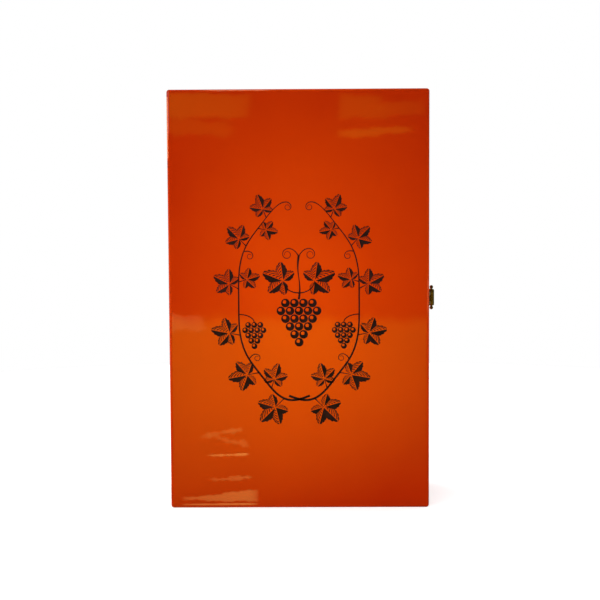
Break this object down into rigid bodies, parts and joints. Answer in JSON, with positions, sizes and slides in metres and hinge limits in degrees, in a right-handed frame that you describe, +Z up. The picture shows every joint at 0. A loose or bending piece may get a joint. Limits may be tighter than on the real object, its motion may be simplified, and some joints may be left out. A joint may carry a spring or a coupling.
{
  "type": "wine box",
  "caption": "Upright gloss-lacquered wooden wine box with a side-hinged lid, a brass hasp and a velvet cradle with bottle-shaped wells.",
  "frame": {"origin": "middle of the foot end, on the surface that the box stands on, half-way between the lid's face and the back", "axes": "+Z up along the bottles, +Y from the lid's face to the back, +X from the hinges to the hasp"},
  "size_m": [0.2283, 0.115, 0.355],
  "materials": {
    "lacquer": "gloss",
    "brass": "polished",
    "velvet": "velvet",
    "satin": "satin"
  },
  "bodies": {
    "base": {"base_back_panel": "lacquer", "base_left_wall": "lacquer", "base_right_wall": "lacquer", "base_top_wall": "lacquer", "base_bottom_wall": "lacquer", "base_left_lining": "velvet", "base_right_lining": "velvet", "base_top_lining": "velvet", "base_bottom_lining": "velvet", "bottle_cradle": "velvet", "upper_hinge_base_leaf": "brass", "lower_hinge_base_leaf": "brass", "upper_hinge_pin": "brass", "lower_hinge_pin": "brass", "hinge_base_screws": "brass", "hasp_catch_plate": "brass", "hasp_knob": "brass", "hasp_catch_screws": "brass"},
    "lid": {"lid_front_panel": "lacquer", "lid_left_wall": "lacquer", "lid_right_wall": "lacquer", "lid_top_wall": "lacquer", "lid_bottom_wall": "lacquer", "lid_lining_pad": "satin", "upper_hinge_lid_leaf": "brass", "lower_hinge_lid_leaf": "brass", "hinge_lid_screws": "brass", "hasp_lid_plate": "brass", "hasp_hinge_pin": "brass", "hasp_lid_screws": "brass"},
    "hasp": {"hasp_strap": "brass"}
  },
  "joints": [
    {"name": "lid_hinge", "type": "hinge", "parent": "base", "child": "lid", "pos_m": [-0.1106, -0.0253, 0.1775], "axis": [0, 0, -1], "range_deg": [0, 180]},
    {"name": "hasp_swing", "type": "hinge", "parent": "lid", "child": "hasp", "pos_m": [0.1133, -0.0313, 0.1775], "axis": [0, 0, -1], "range_deg": [0, 175]}
  ]
}
